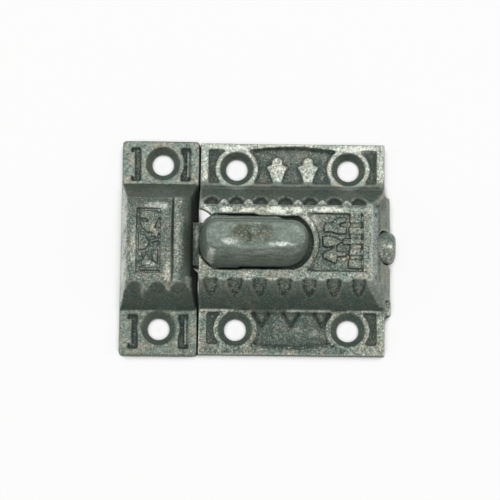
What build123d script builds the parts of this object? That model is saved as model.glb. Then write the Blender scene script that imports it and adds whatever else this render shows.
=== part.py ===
from build123d import *
import os
from math import hypot

# Cast-iron cupboard catch: a latch with a sprung slide bolt, and its keeper beside it.
# Millimetres. Origin at the centre of the latch's four screws, on the face that meets the wood.
# +X runs along the bolt towards its tail, +Y up the door, +Z out of the door.

# Screws and plates
screw_x = 26.9
screw_y = 39.3
screw_hole = 5.3
screw_head = 8.2
ring_r = 5.2
latch_w = 44.4
latch_h = 51.6
keeper_w = 18.6
keeper_taller = 0.8
keeper_screw_y = 40.3
keeper_screw_up = 0.5
keeper_screw_in = 0.3
keeper_screw_skew = 0.2
keeper_up = 0.1
seam = 0.3
plate_t = 2.4
relief = 0.6

# Raised humps
front_z = 10.6
wall_t = 2.0
hump_foot = 15.0
hump_front = 9.4
end_reach = 1.3
end_run = 3.0
end_half = 12.6
stub_long = 3.4
stub_out = 1.6
end_bevel = 2.0
end_bevel_run = 1.6
end_corner = 0.9
keeper_foot = 15.35
keeper_front = 10.25
keeper_side_run = 1.6
lip_start = 4.4
lip_r = 3.3
carve = 0.5
notch_half = 1.85
notch_short = 4.4
notch_long = 6.0
notch_depth = 0.7
notch_step = 5.85
notch_mid = -1.8
lobe_r = 0.9
scallop_half = 2.2
scallop_long = 4.4
scallop_depth = 0.35

# Bolt, its guides and its travel
travel = 4.2
nose_half = 5.2
nose_drop = 1.3
slide_gap = 0.2
slot_half = 6.75
slot_right = 4.9
slot_bulge = 0.45
neck_gap = 0.75
knob_foot = 11.0
knob_top = 19.6
knob_over = 1.2
dish_x = -9.4
dish_half = 5.6
dish_wide = 2.6
dish_deep = 0.45
shoulder_half = 6.35
shoulder_low = 5.0
shoulder_long = 6.8
shoulder_up = 0.25
peg_r = 1.3
tail_r = 3.65
tail_out = 1.2
tail_corner = 1.8
door_gap = 0.4
guide_t = 1.8
strap_x = 7.0
strap_w = 8.0
strap_t = 1.0
strap_sunk = 0.3
strap_past = 2.3
strap_corner = 1.2
post_r = 1.1
peen_t = 0.2
spring_d = 4.4
wire_d = 0.6
spring_long = 16.5
spring_turns = 6

# Places worked out from the sizes above
latch_left = -latch_w / 2
hump_right = latch_w / 2 + end_reach
rise = front_z - plate_t
hump_run = hump_foot - hump_front
roof_z = front_z - wall_t
bevel_z = front_z - end_bevel
bevel_right = hump_right - end_run
bevel_half = hump_foot - (hump_foot - hump_front) * (bevel_z - plate_t) / rise
front_right = bevel_right - end_bevel_run
end_front = bevel_right - end_bevel * end_run / (rise - end_bevel)
slot_right_r = slot_half + slot_bulge
slot_left_r = slot_half + 2 * slot_bulge
slot_left_x = latch_left + slot_left_r - 0.3
rim_x = slot_right - slot_right_r
rim_r = slot_right_r + 1.4
bolt_floor = strap_sunk + strap_t + slide_gap
bolt_roof = roof_z - 0.3
nose_roof = bolt_roof - nose_drop
keeper_right = latch_left - seam
keeper_left = keeper_right - keeper_w
keeper_x = (keeper_left + keeper_right) / 2
nose_tip = keeper_right - travel + 0.1
body_half = slot_half + 0.75
body_left = latch_left + 4.7
body_right = slot_right + 7.1
guide_in = body_half + slide_gap
guide_left = body_left - 0.5
guide_right = body_right + 1.5
post_y = guide_in + guide_t + 0.6
boss_top = plate_t + 0.38 * rise
tail_z = bolt_roof - tail_r
tail_end = hump_right + tail_out
knob_tall = knob_top - knob_foot
knob_right = slot_right - knob_over
tab_x = strap_x - strap_w / 2
channel_half = spring_d / 2 + 0.25
channel_left = tab_x - spring_long
channel_right = tab_x + strap_t + 1.0
spring_z = bolt_floor + 0.2 + channel_half
panel_half = hump_front - 2.4
panel_right = front_right - 2.1
panel_left = rim_x + (rim_r**2 - panel_half**2) ** 0.5
field_edge = latch_w / 2 - 2.0
field_in = hump_foot + 1.0
field_out = latch_h / 2 - 1.5
lower_out = latch_h / 2 - 2.4
latch_screws = [(sx * screw_x / 2, sy * screw_y / 2) for sx in (-1, 1) for sy in (-1, 1)]
keeper_h = latch_h + keeper_taller
keeper_screws = [
    (keeper_x + keeper_screw_in + sy * keeper_screw_skew, keeper_screw_up + sy * keeper_screw_y / 2)
    for sy in (-1, 1)
]
front = Plane.XY.offset(front_z)
panel_floor = Plane.XY.offset(front_z - carve)
plate_top = Plane.XY.offset(plate_t)

keeper_panel_left = keeper_left + 4.0
keeper_panel_right = keeper_left + 9.8
keeper_panel_x = (keeper_panel_left + keeper_panel_right) / 2
lip_x = keeper_right - lip_start
mouth_half = nose_half + 0.6
mouth_roof = nose_roof + 0.6

# Ornament standing in the latch's front panel: bars as (low, high, length), measured from the
# panel's right edge, thin ribs between them, and three leaves that point to the slot
bars = ((4.75, 6.55, 2.7), (2.0, 3.65, 2.9), (-0.4, 0.9, 4.3), (-3.15, -1.55, 2.9), (-6.2, -4.05, 3.0))
ribs = (4.05, 1.4, -1.05, -3.75)
upper_leaf = (
    (-9.2, 4.1),
    (-8.8, 4.6),
    (-7.5, 4.6),
    (-6.9, 5.4),
    (-5.9, 5.9),
    (-4.2, 6.0),
    (-4.2, 4.9),
    (-5.5, 4.7),
    (-6.0, 3.9),
    (-4.2, 3.6),
    (-4.2, 2.2),
    (-5.6, 2.0),
    (-7.4, 2.6),
    (-9.3, 2.6),
)
middle_leaf = ((-9.6, 1.4), (-7.7, 1.5), (-6.2, 0.7), (-5.2, 0.3), (-6.2, -0.5), (-8.6, -1.2), (-9.6, -0.8))
lower_leaf = (
    (-6.5, -0.9),
    (-6.4, -2.3),
    (-4.2, -2.4),
    (-4.2, -3.2),
    (-6.2, -3.4),
    (-6.5, -5.1),
    (-9.6, -3.6),
    (-9.4, -2.8),
    (-8.6, -2.0),
    (-8.0, -2.0),
)

# Ornament in the keeper's panel, measured from the panel's middle: a hanging leaf with a band sunk
# across it, its stay and leaflet, a tongue, a half lozenge, and two leaves over a sill
hanging_leaf = ((-2.1, 7.0), (-1.9, 4.1), (-1.3, 2.8), (0, 1.7), (1.1, 3.9), (2.1, 5.9), (2.2, 7.0))
leaf_band = ((-1.9, 5.4), (-0.1, 5.0), (0.2, 4.3), (-1.8, 4.6))
keeper_motifs = (
    ((2.55, 6.7), (2.85, 6.4), (0.85, 1.9), (0.45, 2.0)),
    ((1.9, 3.2), (2.6, 2.8), (2.2, 0.8), (0.75, 1.1)),
    ((0.6, 0.1), (2.4, 0.5), (2.4, -0.1), (0.7, -0.4)),
    ((-2.3, 1.9), (-0.6, 0.9), (0.2, -0.6), (-0.6, -2.0), (-2.3, -2.4)),
    ((-1.5, -5.0), (-0.4, -3.2), (0.9, -5.0), (0.3, -6.0), (-1.5, -6.0)),
    ((0.6, -2.4), (2.2, -2.2), (2.2, -5.5), (1.3, -5.0)),
    ((-2.1, -6.6), (2.5, -6.7), (2.5, -7.2), (-2.1, -7.2)),
)


def wall_inset(foot, top, height):
    # Inside face of a sloping wall of one thickness throughout, at a height.
    run = foot - top
    outside = foot - run * (height - plate_t) / rise
    return outside - wall_t * hypot(run, rise) / rise


def plan(height, left, right, half, left_corner, right_corner, y=0):
    # Rectangle at a height, with its own corner radius at each end.
    with BuildSketch(Plane.XY.offset(height)) as figure:
        with Locations(((left + right) / 2, y)):
            Rectangle(right - left, 2 * half)
        if right_corner:
            fillet(figure.vertices().sort_by(Axis.X)[-2:], right_corner)
        if left_corner:
            fillet(figure.vertices().sort_by(Axis.X)[:2], left_corner)
    return figure.sketch


def shape(plane, points):
    # Straight-sided outline on a plane.
    with BuildSketch(plane) as figure:
        with BuildLine():
            Polyline(*points, close=True)
        make_face()
    return figure.sketch


def slab(plane, left, right, low, high, corner=0.3):
    # Rectangle with softened corners on a plane.
    with BuildSketch(plane) as figure:
        with Locations(((left + right) / 2, (low + high) / 2)):
            RectangleRounded(right - left, high - low, corner)
    return figure.sketch


def discs(plane, places, radius):
    # Round outlines at several places on a plane.
    with BuildSketch(plane) as figure:
        with Locations(*places):
            Circle(radius)
    return figure.sketch


def slope_plane(x, y, normal):
    # Plane lying on a slope, through a point of the front edge, its local Y pointing up the slope.
    slope = Vector(*normal).normalized()
    return Plane(origin=(x, y, front_z), x_dir=Vector(0, 0, 1).cross(slope), z_dir=slope)


def shield(plane, half, length):
    # Notch on a slope: wide at the front edge and drawn in to a point down the slope.
    right_side = ((half, 0.03 * length), (0.92 * half, -0.4 * length), (0.5 * half, -0.82 * length))
    left_side = [(-u, v) for u, v in reversed(right_side)]
    return shape(plane, [*right_side, (0, -length), *left_side])


def arch(plane, half, base, crown):
    # Section of the tail and of its doorway: upright sides under a half round.
    with BuildSketch(plane) as figure:
        with BuildLine():
            Polyline((-half, crown), (-half, base), (half, base), (half, crown))
            ThreePointArc((half, crown), (0, crown + half), (-half, crown))
        make_face()
    return figure.sketch


def slot_plan(plane, half, left_x, left_r, right, right_r):
    # Plan of the knob's slot, or of the neck in it: flat sides between two arcs.
    left_flat = left_x - (left_r**2 - half**2) ** 0.5
    right_flat = right - right_r + (right_r**2 - half**2) ** 0.5
    with BuildSketch(plane) as figure:
        with BuildLine():
            Line((left_flat, -half), (right_flat, -half))
            ThreePointArc((right_flat, -half), (right, 0), (right_flat, half))
            Line((right_flat, half), (left_flat, half))
            ThreePointArc((left_flat, half), (left_x - left_r, 0), (left_flat, -half))
        make_face()
    return figure.sketch


def spade(x, base, tall, half):
    # Tulip leaf: pointed crown over two lobes, drawn in to a narrow foot.
    right_side = (
        (0.28 * half, 0.97 * tall),
        (0.5 * half, 0.86 * tall),
        (0.45 * half, 0.72 * tall),
        (half, 0.63 * tall),
        (0.72 * half, 0.42 * tall),
        (0.36 * half, 0),
    )
    left_side = [(-u, v) for u, v in reversed(right_side)]
    return shape(plate_top, [(x + u, base + v) for u, v in ((0, tall), *right_side, *left_side)])


def hanging_point(plane, x, high, half, tall):
    # Triangle hanging from its long side.
    return shape(plane, ((x - half, high), (x, high - tall), (x + half, high)))


# Latch case: one iron casting, hollow behind, with its ornament cast in the front
with BuildPart() as latch_case:
    with BuildSketch():
        Rectangle(latch_w, latch_h)
    extrude(amount=plate_t)
    extrude(plan(0, latch_left, hump_right, hump_foot, 0, end_corner), amount=plate_t)
    hump = [
        plan(plate_t, latch_left, hump_right, hump_foot, 0, end_corner),
        plan(bevel_z, latch_left, bevel_right, bevel_half, 0, end_corner),
        plan(front_z, latch_left, front_right, hump_front, 0, end_corner),
    ]
    loft(hump, ruled=True)
    # The end wall stands past the plate over a part of its height only, with a casting stub below
    for side in (-1, 1):
        with BuildSketch() as past_end:
            with Locations((latch_w / 2 + end_reach, side * (end_half + hump_foot))):
                Rectangle(2 * end_reach, 2 * hump_foot)
        extrude(amount=front_z, mode=Mode.SUBTRACT)
    with BuildSketch():
        with Locations((latch_w / 2, -end_half - stub_long / 2)):
            Rectangle(2 * stub_out, stub_long)
    extrude(amount=plate_t)
    # Hollow behind, open at the seam end
    hollow = []
    for height in (0, roof_z):
        hollow_right = wall_inset(hump_right, end_front, height)
        hollow_half = wall_inset(hump_foot, hump_front, height)
        hollow.append(plan(height, latch_left - 1, hollow_right, hollow_half, 0, 1.5))
    loft(hollow, ruled=True, mode=Mode.SUBTRACT)
    # Two guides that the bolt slides between, each with a peened post for the strap
    for side in (-1, 1):
        post = [(strap_x, side * post_y)]
        with BuildSketch(Plane.XY.offset(strap_sunk + strap_t)):
            with Locations(((guide_left + guide_right) / 2, side * (guide_in + guide_t / 2))):
                Rectangle(guide_right - guide_left, guide_t)
        extrude(amount=roof_z + 0.4 - strap_sunk - strap_t)
        boss_foot = Plane.XY.offset(strap_sunk + strap_t)
        extrude(discs(boss_foot, post, 2 * post_r), amount=boss_top - strap_sunk - strap_t)
        post_foot = Plane.XY.offset(strap_sunk - peen_t)
        extrude(discs(post_foot, post, post_r), amount=strap_t + 2 * peen_t)
        extrude(discs(post_foot, post, 1.5 * post_r), amount=peen_t)
    # Slot for the knob, and the doorway for the tail
    slot = slot_plan(front, slot_half, slot_left_x, slot_left_r, slot_right, slot_right_r)
    extrude(slot, amount=-wall_t - 0.5, mode=Mode.SUBTRACT)
    doorway = arch(Plane.YZ.offset(guide_right), tail_r + door_gap, -1, tail_z + 0.2)
    extrude(doorway, amount=hump_right - guide_right + 1, mode=Mode.SUBTRACT)
    # Corner broken away between slot and seam, and the blunt tip that is left below it
    broken = (
        (latch_left - 1, hump_front - 1.3),
        (latch_left + 0.6, hump_front - 1.5),
        (latch_left + 1.9, hump_front - 2.2),
        (latch_left + 3.2, hump_front - 3.4),
        (latch_left + 1.4, 0),
        (latch_left - 1, 0),
    )
    extrude(shape(front, broken), amount=-wall_t - 0.3, mode=Mode.SUBTRACT)
    blunt = slab(front, latch_left - 1, latch_left + 0.35, -3.4, 0.5)
    extrude(blunt, amount=-wall_t - 0.5, mode=Mode.SUBTRACT)
    # Countersunk screw holes
    with Locations(*[(x, y, plate_t) for x, y in latch_screws]):
        CounterSinkHole(screw_hole / 2, screw_head / 2, plate_t + 1, 90)
    # Upper plate: sunken field under a shallow arched border, with rings and two spades standing
    rings = discs(plate_top, latch_screws, ring_r)
    with BuildSketch(plate_top) as upper_field:
        with BuildLine():
            Polyline((-9.5, field_out), (-field_edge, field_out), (-field_edge, field_in), (0, field_in))
            Polyline((0, field_in), (field_edge, field_in), (field_edge, field_out), (9.5, field_out))
            ThreePointArc((9.5, field_out), (-1, field_out + 0.7), (-9.5, field_out))
        make_face()
    spades = spade(-3.7, field_in + 0.1, 6.5, 2.65) + spade(3.75, field_in + 0.1, 6.5, 2.65)
    extrude(upper_field.sketch - rings - spades, amount=-relief, mode=Mode.SUBTRACT)
    # Lower plate: end recesses, a shallow middle field and three deep hanging points
    for side in (-1, 1):
        ends = sorted((side * field_edge, side * screw_x / 2))
        strip = slab(plate_top, *ends, 1.0 - field_out, 0.4 - field_in)
        extrude(strip - rings, amount=-relief, mode=Mode.SUBTRACT)
    with BuildSketch(plate_top) as lower_field:
        with BuildLine():
            Polyline((-9.9, -lower_out), (-9.9, 0.5 - field_in), (9.9, 0.5 - field_in), (9.9, -lower_out))
            ThreePointArc((9.9, -lower_out), (0.3, -lower_out - 0.5), (-9.9, -lower_out))
        make_face()
    extrude(lower_field.sketch - rings, amount=-0.7 * relief, mode=Mode.SUBTRACT)
    for x in (-7.2, -0.1, 7.2):
        point = hanging_point(plate_top, x, 0.5 - field_in, 2.6, 4.0)
        island = hanging_point(plate_top, x, 0.5 - field_in, 1.4, 2.2)
        extrude(point - island - rings, amount=-1.6 * relief, mode=Mode.SUBTRACT)
    # Row of pointed notches along each long slope, with a small lobe between them on the upper edge
    for side, length in ((-1, notch_long), (1, notch_short)):
        for i in range(-3, 4):
            slope = slope_plane(i * notch_step + notch_mid, side * hump_front, (0, side * rise, hump_run))
            extrude(shield(slope, notch_half, length), amount=-notch_depth, mode=Mode.SUBTRACT)
    lobes = [((i + 0.5) * notch_step + notch_mid, hump_front) for i in range(-3, 3)]
    extrude(discs(front, lobes, lobe_r), amount=-2 * notch_depth)
    # Sunken panel between the slot's rim and the tail end, with leaves and bars left standing
    panel = slab(front, panel_left, panel_right, -panel_half, panel_half, 0.2) - discs(front, [(rim_x, 0)], rim_r)
    extrude(panel, amount=-carve, mode=Mode.SUBTRACT)
    bar_right = panel_right - 0.5
    for low, high, length in bars:
        extrude(slab(panel_floor, bar_right - length, bar_right, low, high), amount=carve)
    for low in ribs:
        extrude(slab(panel_floor, bar_right - 2.6, bar_right, low, low + 0.3, 0.1), amount=0.6 * carve)
    for leaf in (upper_leaf, middle_leaf, lower_leaf):
        extrude(shape(panel_floor, [(panel_right + u, v) for u, v in leaf]), amount=carve)
latch_case.part.label = "latch_case"

# Slide bolt: one casting from the bevelled nose to the tail, with the thumb knob on its neck
with BuildPart() as slide_bolt:
    nose = (
        (nose_tip, nose_roof),
        (body_left + 1, nose_roof),
        (body_left + 1, bolt_floor),
        (keeper_right, bolt_floor),
        (nose_tip, nose_roof - 1.6),
    )
    extrude(shape(Plane.XZ, nose), amount=nose_half, both=True)
    extrude(plan(bolt_floor, body_left, body_right, body_half, 1.0, 1.0), amount=bolt_roof - bolt_floor)
    tail = arch(Plane.YZ.offset(body_right - 1), tail_r, bolt_floor, tail_z)
    extrude(tail, amount=tail_end - body_right + 1)
    tail_corners = slide_bolt.edges().filter_by(Axis.Z).group_by(Axis.X)[-1]
    fillet(tail_corners, tail_corner)
    # Neck that fills the slot's left end and stops short of its right end by the travel
    neck_half = slot_half - neck_gap
    neck_right = slot_right - travel - 0.1
    neck = slot_plan(
        Plane.XY.offset(nose_roof - 0.5),
        neck_half,
        slot_left_x + 0.2,
        slot_left_r - 0.2,
        neck_right,
        slot_right_r - neck_gap,
    )
    extrude(neck, amount=knob_foot + 0.3 - nose_roof + 0.5)
    # Shoulder on the neck's nose end, with a lower step further along it
    shoulder_left = latch_left + 0.6
    shoulder_right = shoulder_left + shoulder_long
    half = (shoulder_half + shoulder_low) / 2
    shoulder = plan(nose_roof, shoulder_left, shoulder_right, half, 0.6 * half, 1.2, shoulder_half - half)
    extrude(shoulder, amount=front_z + shoulder_up - nose_roof)
    step = slab(Plane.XY.offset(nose_roof), shoulder_left + 3.0, shoulder_left + 9.0, -shoulder_half, 0, 0.3)
    extrude(step, amount=front_z + shoulder_up - nose_roof)
    # Knob: long tapered crown that overhangs the neck towards the tail, its foot lower than its top
    knob_levels = (
        (knob_foot, 0, 0, 0.2, 0.6),
        (knob_foot + 0.45 * knob_tall, 0.4, 0.1, 0.85, 0.4),
        (knob_foot + 0.85 * knob_tall, 1.1, 0.3, 1.85, 0.15),
        (knob_top, 1.6, 0.9, 2.35, 0),
    )
    crown = []
    for height, left_in, right_in, side_in, down in knob_levels:
        half = neck_half - side_in
        left = latch_left + 0.4 + left_in
        crown.append(plan(height, left, knob_right - right_in, half, 0.72 * half, 0.95 * half, -down))
    loft(crown)
    fillet(slide_bolt.faces().sort_by(Axis.Z)[-1].edges(), 0.8)
    # Thumb hollow in the crown: an arc turned about a line over the knob
    dish_axis = knob_top + (dish_wide**2 - dish_deep**2) / (2 * dish_deep)
    with BuildSketch(Plane.XZ) as dish:
        with BuildLine():
            Polyline(
                (dish_x + dish_half, knob_top),
                (dish_x + dish_half, dish_axis),
                (dish_x - dish_half, dish_axis),
                (dish_x - dish_half, knob_top),
            )
            ThreePointArc(
                (dish_x - dish_half, knob_top),
                (dish_x, knob_top - dish_deep),
                (dish_x + dish_half, knob_top),
            )
        make_face()
    revolve(dish.sketch, axis=Axis((0, 0, dish_axis), (1, 0, 0)), mode=Mode.SUBTRACT)
    # Channel in the underside for the spring, with a peg that centres it
    with BuildSketch(Plane.XY.offset(bolt_floor)):
        with Locations(((channel_left + channel_right) / 2, 0)):
            Rectangle(channel_right - channel_left, 2 * channel_half)
    extrude(amount=spring_z + channel_half - bolt_floor, mode=Mode.SUBTRACT)
    extrude(discs(Plane.YZ.offset(channel_left - 0.5), [(0, spring_z)], peg_r), amount=2.5)
slide_bolt.part.label = "slide_bolt"

# Coil spring between the bolt and the strap's tab
with BuildPart() as bolt_spring:
    with BuildLine() as coil:
        Helix(
            pitch=(spring_long - wire_d) / spring_turns,
            height=spring_long - wire_d,
            radius=(spring_d - wire_d) / 2,
            center=(channel_left + wire_d / 2, 0, spring_z),
            direction=(1, 0, 0),
        )
    with BuildSketch(Plane(origin=coil.line @ 0, z_dir=coil.line % 0)):
        RegularPolygon(wire_d / 2, 6)
    sweep()
bolt_spring.part.label = "bolt_spring"

# Sheet-steel strap across the back, held by the peened posts, its tab turned up into the channel
with BuildPart() as back_strap:
    with BuildSketch(Plane.XY.offset(strap_sunk)):
        with Locations((strap_x, 0)):
            RectangleRounded(strap_w, 2 * (post_y + strap_past), strap_corner)
    extrude(amount=strap_t)
    with BuildSketch(Plane.XY.offset(strap_sunk)):
        with Locations((tab_x + strap_t / 2, 0)):
            Rectangle(strap_t, 2 * channel_half - 0.6)
    extrude(amount=spring_z + 0.3 * spring_d - strap_sunk)
    with BuildSketch(Plane.XY.offset(strap_sunk)):
        with Locations((strap_x, post_y), (strap_x, -post_y)):
            Circle(post_r + 0.02)
    extrude(amount=strap_t, mode=Mode.SUBTRACT)
    strap_bend = back_strap.edges().filter_by(Axis.Y).group_by(Axis.X)[0].sort_by(Axis.Z)[0]
    fillet(strap_bend, 0.5 * strap_t)
back_strap.part.label = "back_strap"

# Keeper: hollow casting with a mouth for the bolt under a rounded lip
with BuildPart() as keeper:
    keeper_section = (
        (-keeper_foot, 0),
        (keeper_foot, 0),
        (keeper_foot, plate_t),
        (keeper_front, front_z),
        (-keeper_front, front_z),
        (-keeper_foot, plate_t),
    )
    along = [(keeper_up + y, z) for y, z in keeper_section]
    extrude(shape(Plane.YZ.offset(keeper_left), along), amount=keeper_w)
    with BuildSketch(Plane.XZ) as side_view:
        with BuildLine():
            Polyline(
                (keeper_right - 0.35, plate_t),
                (keeper_right - 0.35, 0),
                (keeper_left, 0),
                (keeper_left, plate_t),
                (keeper_left + keeper_side_run, front_z),
                (lip_x, front_z),
            )
            ThreePointArc(
                (lip_x, front_z),
                (lip_x + lip_r * 0.5**0.5, front_z - lip_r * (1 - 0.5**0.5)),
                (lip_x + lip_r, front_z - lip_r),
            )
            Line((lip_x + lip_r, front_z - lip_r), (keeper_right - 0.35, plate_t))
        make_face()
    extrude(side_view.sketch, amount=keeper_h, both=True, mode=Mode.INTERSECT)
    ear_corner = 0.8
    with BuildSketch():
        with Locations((keeper_x, 0)):
            RectangleRounded(keeper_w, keeper_h, ear_corner)
    extrude(amount=plate_t)
    # Hollow behind, and the mouth through the lip
    core = []
    for height in (0, roof_z):
        core_left = -wall_inset(-keeper_left, -keeper_left - keeper_side_run, height)
        core_half = wall_inset(keeper_foot, keeper_front, height)
        core_right = lip_x + 1.9 - 1.6 * height / roof_z
        core.append(plan(height, core_left, core_right, core_half, 1.0, 1.0, keeper_up))
    loft(core, ruled=True, mode=Mode.SUBTRACT)
    mouth = slab(Plane.XY, lip_x - 0.5, keeper_right + 1, -mouth_half, mouth_half, 0.3)
    extrude(mouth, amount=mouth_roof, mode=Mode.SUBTRACT)
    with Locations(*[(x, y, plate_t) for x, y in keeper_screws]):
        CounterSinkHole(screw_hole / 2, screw_head / 2, plate_t + 1, 90)
    # Narrow sunken strips on the ears beside the rings, with a thin bar standing in each
    rings = discs(plate_top, keeper_screws, ring_r)
    for side in (-1, 1):
        for ear in (-1, 1):
            strip_x = sorted((keeper_x + side * 7.2, keeper_x + side * 4.9))
            strip_y = sorted((ear * (keeper_foot + 1.1), ear * (keeper_h / 2 - 1.7)))
            bar_x = keeper_x + side * 6.5
            bar = slab(plate_top, bar_x - 0.25, bar_x + 0.25, strip_y[0] + 0.7, strip_y[1] - 0.7, 0.2)
            strip = slab(plate_top, *strip_x, *strip_y) - rings - bar
            extrude(strip, amount=-relief, mode=Mode.SUBTRACT)
    # Scallops on the lower slope, and small notches on the end slope
    for x in (keeper_x - 5.3, keeper_x + 0.1, keeper_x + 4.8):
        slope = slope_plane(x, keeper_up - keeper_front, (0, -rise, keeper_foot - keeper_front))
        extrude(shield(slope, scallop_half, scallop_long), amount=-scallop_depth, mode=Mode.SUBTRACT)
    for i in range(4):
        slope = slope_plane(keeper_left + keeper_side_run, keeper_up + (i - 1.5) * 5.2, (-rise, 0, keeper_side_run))
        extrude(shield(slope, 0.5 * notch_half, 0.7 * notch_long), amount=-0.6 * notch_depth, mode=Mode.SUBTRACT)
    # Groove before the bead, and the sunken panel with its ornament left standing
    groove = slab(front, lip_x - 1.85, lip_x - 1.25, keeper_up - keeper_foot, keeper_up + keeper_foot, 0.1)
    extrude(groove, amount=-1.1 * carve, mode=Mode.SUBTRACT)
    panel = slab(front, keeper_panel_left, keeper_panel_right, keeper_up - 7.8, keeper_up + 7.7, 0.2)
    extrude(panel, amount=-carve, mode=Mode.SUBTRACT)
    leaf_plane = Plane((keeper_panel_x, keeper_up, front_z - carve))
    extrude(shape(leaf_plane, hanging_leaf) - shape(leaf_plane, leaf_band), amount=0.9 * carve)
    for outline in keeper_motifs:
        extrude(shape(leaf_plane, outline), amount=0.8 * carve)
keeper.part.label = "keeper"

os.makedirs("parts", exist_ok=True)
for piece in (latch_case, slide_bolt, bolt_spring, back_strap, keeper):
    export_step(piece.part, f"parts/{piece.part.label}.step")
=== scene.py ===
import math

import bmesh
import bpy
import numpy as np
from mathutils import Matrix, Vector, noise
from mathutils.bvhtree import BVHTree


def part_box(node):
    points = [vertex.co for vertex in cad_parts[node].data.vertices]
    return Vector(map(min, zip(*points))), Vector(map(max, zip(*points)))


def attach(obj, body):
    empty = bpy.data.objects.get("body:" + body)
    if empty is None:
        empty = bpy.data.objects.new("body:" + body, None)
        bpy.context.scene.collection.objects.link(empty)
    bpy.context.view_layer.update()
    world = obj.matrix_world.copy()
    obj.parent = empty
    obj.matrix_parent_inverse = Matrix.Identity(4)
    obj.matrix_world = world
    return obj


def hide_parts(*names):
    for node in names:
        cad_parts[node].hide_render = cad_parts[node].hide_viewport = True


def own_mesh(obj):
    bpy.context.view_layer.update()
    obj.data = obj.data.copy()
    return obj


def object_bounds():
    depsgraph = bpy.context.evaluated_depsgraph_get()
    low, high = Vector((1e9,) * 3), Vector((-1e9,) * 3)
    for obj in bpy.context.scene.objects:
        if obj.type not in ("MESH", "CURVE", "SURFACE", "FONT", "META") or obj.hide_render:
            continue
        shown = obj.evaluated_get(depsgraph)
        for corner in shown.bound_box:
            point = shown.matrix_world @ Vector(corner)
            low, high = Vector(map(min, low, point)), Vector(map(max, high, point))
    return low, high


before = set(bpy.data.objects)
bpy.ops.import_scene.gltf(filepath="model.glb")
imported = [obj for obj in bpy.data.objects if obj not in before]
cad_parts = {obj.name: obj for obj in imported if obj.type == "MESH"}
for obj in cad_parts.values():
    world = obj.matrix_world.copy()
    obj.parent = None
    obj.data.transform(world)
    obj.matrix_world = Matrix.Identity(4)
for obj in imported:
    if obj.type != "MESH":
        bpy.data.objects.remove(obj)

bl_info = {
    "name": "Cast-iron cupboard catch",
    "version": (1, 0, 0),
    "blender": (4, 5, 0),
    "location": "View3D > Sidebar > Catch",
    "description": "Gives a cupboard catch its worn castings, spring, strap and studio",
    "category": "Add Mesh",
}

MM = 0.001
CAD_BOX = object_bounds()
KEEPER_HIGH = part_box("keeper")[1]
SPRING_LOW, SPRING_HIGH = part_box("bolt_spring")

# Plan places on the castings, in mm, in the frame of the solids
CASE_SCREWS = [(x, y) for x in (-13.45, 13.45) for y in (-19.65, 19.65)]
KEEPER_SCREWS = [(-31.3, 20.65), (-31.7, -19.65)]
CASE_PANEL = ((4.5, -7.8, 9.6), (17.6, 7.8, 10.8))
KEEPER_PANEL = ((-37.8, -8.2, 9.6), (-30.6, 9.0, 10.8))
# Along the fronts: where a zone begins, is full, starts to end and ends, as x in mm
CASE_FIELD = (5.0, 5.5, 16.3, 16.6)
WORN_END = (18.2, 18.8, 20.0, 20.6)
KEEPER_FIELD = (-37.3, -37.0, -31.5, -31.2)
KEEPER_BEAD = (-28.3, -28.1, -26.6, -26.0)
# Round a screw: where its sink ends, and where the rubbed ring about it lies, in mm from its axis
SINK_RIM = (4.0, 4.3)
RING = 4.75
# Centre of the slot's right end, and the middle and half widths of the knob's thumb hollow
SLOT_END = -2.3
THUMB_HOLLOW = (-9.4, 0.3, 6.4, 3.1)
# Arches of film on the keeper: on its lower slope, and in at the upper edge of its front
ARCH_START, ARCH_WIDE, ARCH_HIGH = -34.6, 5.3, 2.6
BITE_START, BITE_WIDE, BITE_DEEP = -37.6, 3.4, 0.5
# The case's slopes fall from its front's edge, whose y and z come first, with this run and drop in mm
FRONT_EDGE = (9.4, 10.6)
SLOPE_RUN, SLOPE_DROP = 5.6, 8.2

# Places: x, y, half width, half height in mm, and how strong. The glint tables are painted highlights on
# rubbed iron; the thumb stains are olive patina
CASE_GLINTS = (
    (-20.9, 7.4, 1.6, 1.0, 0.9),
    (-15.9, 7.7, 2.0, 0.8, 0.8),
    (-10.7, 7.5, 2.2, 0.8, 0.7),
    (-3.9, 7.6, 3.0, 1.1, 0.9),
    (1.2, 7.7, 2.4, 0.9, 0.75),
    (8.5, 7.9, 5.5, 0.8, 0.6),
    (4.2, 5.2, 2.6, 2.4, 0.45),
    (-10.5, -7.9, 3.4, 0.9, 0.35),
    (5.2, -20.4, 1.8, 0.8, 0.22),
    (1.4, -19.8, 1.5, 0.8, 0.2),
    (1.0, 22.4, 9.5, 1.6, 0.12),
    (15.0, 24.6, 6.0, 1.0, 0.8),
    (-15.0, 24.8, 6.5, 0.9, 0.7),
    (0.0, 25.8, 12.0, 0.8, 0.7),
)
KEEPER_GLINTS = (
    (-40.6, 6.3, 1.6, 4.6, 0.6),
    (-40.6, -6.6, 1.6, 4.2, 0.6),
    (-31.8, 8.4, 3.4, 1.2, 0.5),
    (-33.7, -5.6, 1.5, 0.8, 0.55),
    (-37.6, -1.0, 1.0, 6.5, 0.35),
    (-29.5, -7.5, 1.0, 3.4, 0.4),
    (-27.3, 0.0, 0.7, 8.0, 0.25),
    (-35.5, -11.4, 0.6, 1.9, 0.35),
)
KNOB_GLINTS = (
    (-14.8, -1.9, 2.2, 0.9, 0.7),
    (-3.2, -2.4, 3.2, 0.6, 0.9),
    (-19.3, -4.4, 1.2, 1.6, 0.9),
)
THUMB_STAINS = (
    (-11.9, 1.4, 2.2, 1.6, 0.7),
    (-6.2, 1.5, 1.8, 1.3, 0.8),
    (-9.6, -1.4, 1.6, 1.2, 0.5),
)
# Painted highlights, lines of glints on rubbed iron along the foot of the lower slope: from x, to x in mm,
# and how bright
FOOT_LINES = ((-22.2, -13.5, 1.0), (-1.5, 9.5, 0.8), (13.0, 21.5, 0.5))
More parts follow.
